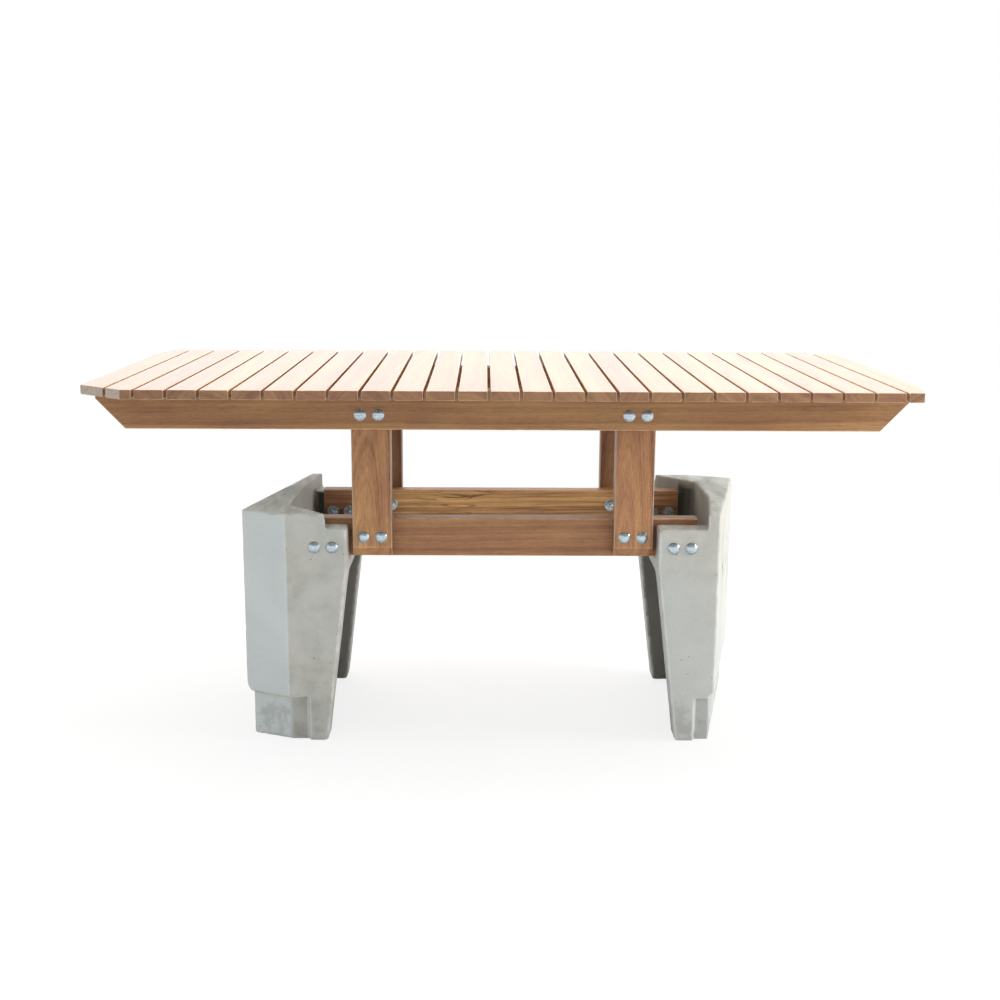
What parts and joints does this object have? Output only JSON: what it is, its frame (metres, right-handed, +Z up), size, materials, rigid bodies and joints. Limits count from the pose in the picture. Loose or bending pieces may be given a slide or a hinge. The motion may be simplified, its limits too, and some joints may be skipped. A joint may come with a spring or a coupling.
{
  "type": "slatted outdoor table",
  "caption": "Outdoor table with a crosswise slatted timber top, bolted timber rails and posts, and U-shaped cast concrete end legs.",
  "frame": {"origin": "on the floor, under the middle of the slatted top", "axes": "+X along the table's long side, +Y across it from the front to the back, +Z up"},
  "size_m": [1.614, 0.796, 0.755],
  "materials": {
    "slat_timber": "oiled",
    "frame_timber": "oiled",
    "concrete": "fair-faced",
    "galvanised_steel": "galvanised"
  },
  "bodies": {
    "root": {"slat_01": "slat_timber", "slat_02": "slat_timber", "slat_03": "slat_timber", "slat_04": "slat_timber", "slat_05": "slat_timber", "slat_06": "slat_timber", "slat_07": "slat_timber", "slat_08": "slat_timber", "slat_09": "slat_timber", "slat_10": "slat_timber", "slat_11": "slat_timber", "slat_12": "slat_timber", "slat_13": "slat_timber", "slat_14": "slat_timber", "slat_15": "slat_timber", "slat_16": "slat_timber", "slat_17": "slat_timber", "slat_18": "slat_timber", "slat_19": "slat_timber", "slat_20": "slat_timber", "slat_21": "slat_timber", "slat_22": "slat_timber", "slat_23": "slat_timber", "slat_24": "slat_timber", "slat_25": "slat_timber", "slat_26": "slat_timber", "slat_27": "slat_timber", "top_rail_front": "frame_timber", "top_rail_back": "frame_timber", "lower_rail_front": "frame_timber", "lower_rail_back": "frame_timber", "post_front_left": "frame_timber", "post_front_right": "frame_timber", "post_back_left": "frame_timber", "post_back_right": "frame_timber", "leg_left": "concrete", "leg_right": "concrete", "top_rail_bolts": "galvanised_steel", "lower_rail_bolts": "galvanised_steel", "leg_bolts": "galvanised_steel", "bolt_washers": "galvanised_steel", "bolt_nuts": "galvanised_steel", "slat_screws": "galvanised_steel"}
  },
  "joints": []
}
